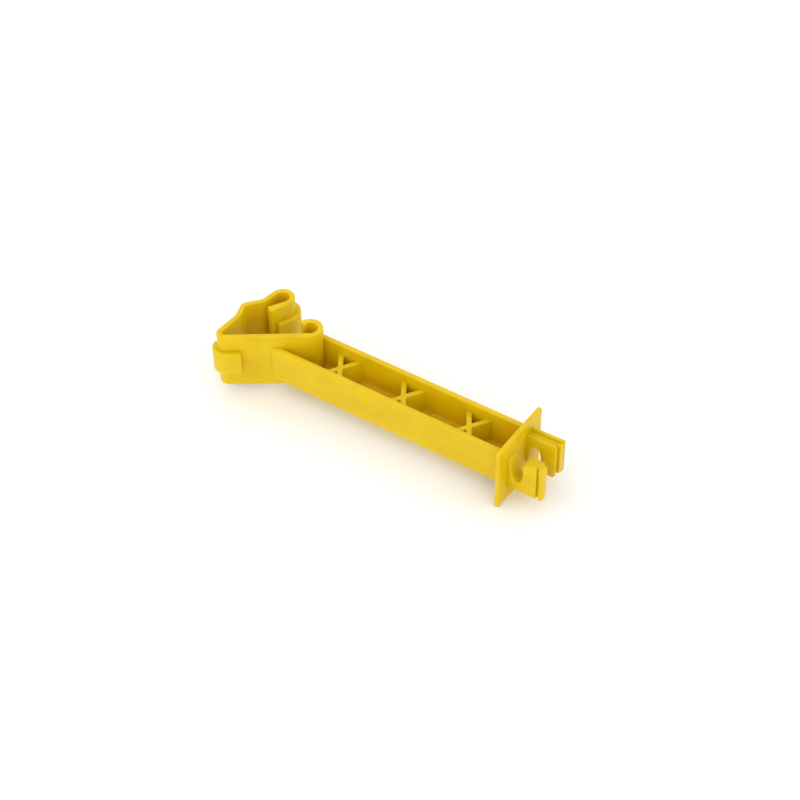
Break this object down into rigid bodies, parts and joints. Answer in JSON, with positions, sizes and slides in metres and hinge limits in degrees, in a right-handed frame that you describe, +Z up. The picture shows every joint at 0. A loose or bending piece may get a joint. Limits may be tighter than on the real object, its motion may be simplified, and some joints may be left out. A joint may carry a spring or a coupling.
{
  "type": "electric fence offset insulator",
  "caption": "Moulded plastic fence-wire insulator: a spring clip for a T-shaped steel post, a stiffened channel arm, a square shield plate and wire hooks that open opposite ways.",
  "frame": {"origin": "under the middle of the bounding box, on the plane of the shield plate's lower edge", "axes": "+X along the arm from the post clip to the wire hooks, +Z up out of the open side of the channel arm, +Y across the arm away from the clip's front wall"},
  "size_m": [0.167, 0.0484, 0.0322],
  "materials": {
    "yellow_polyethylene": "semi-gloss moulded polyethylene, yellow"
  },
  "bodies": {
    "moulding": {"clip_front_wall": "yellow_polyethylene", "clip_corner": "yellow_polyethylene", "corner_lug": "yellow_polyethylene", "front_lobe": "yellow_polyethylene", "front_return_lip": "yellow_polyethylene", "arm_near_wall": "yellow_polyethylene", "arm_far_wall": "yellow_polyethylene", "arm_floor": "yellow_polyethylene", "cross_1": "yellow_polyethylene", "cross_2": "yellow_polyethylene", "cross_3": "yellow_polyethylene", "shield_plate": "yellow_polyethylene"},
    "back_jaw": {"back_wall": "yellow_polyethylene", "stud_pocket": "yellow_polyethylene", "back_lobe": "yellow_polyethylene", "back_return_leg": "yellow_polyethylene", "lobe_lug": "yellow_polyethylene", "leg_lug": "yellow_polyethylene"},
    "near_hook": {"near_root_bar": "yellow_polyethylene", "near_hook_block": "yellow_polyethylene", "near_end_strip": "yellow_polyethylene"},
    "far_hook": {"far_top_bar": "yellow_polyethylene", "far_hook_block": "yellow_polyethylene", "far_end_strip": "yellow_polyethylene"}
  },
  "joints": [
    {"name": "back_jaw_flex", "type": "hinge", "parent": "moulding", "child": "back_jaw", "pos_m": [-0.07993, -0.01767, 0.0182], "axis": [0, 0, 1], "range_deg": [-2, 8], "stiffness_Nm_per_rad": 1.6},
    {"name": "near_hook_flex", "type": "hinge", "parent": "moulding", "child": "near_hook", "pos_m": [0.06608, -0.00597, 0.0168], "axis": [0, 0, 1], "range_deg": [-3, 3], "stiffness_Nm_per_rad": 20},
    {"name": "far_hook_flex", "type": "hinge", "parent": "moulding", "child": "far_hook", "pos_m": [0.06608, 0.00848, 0.0168], "axis": [0, 0, 1], "range_deg": [-3, 3], "stiffness_Nm_per_rad": 12}
  ]
}
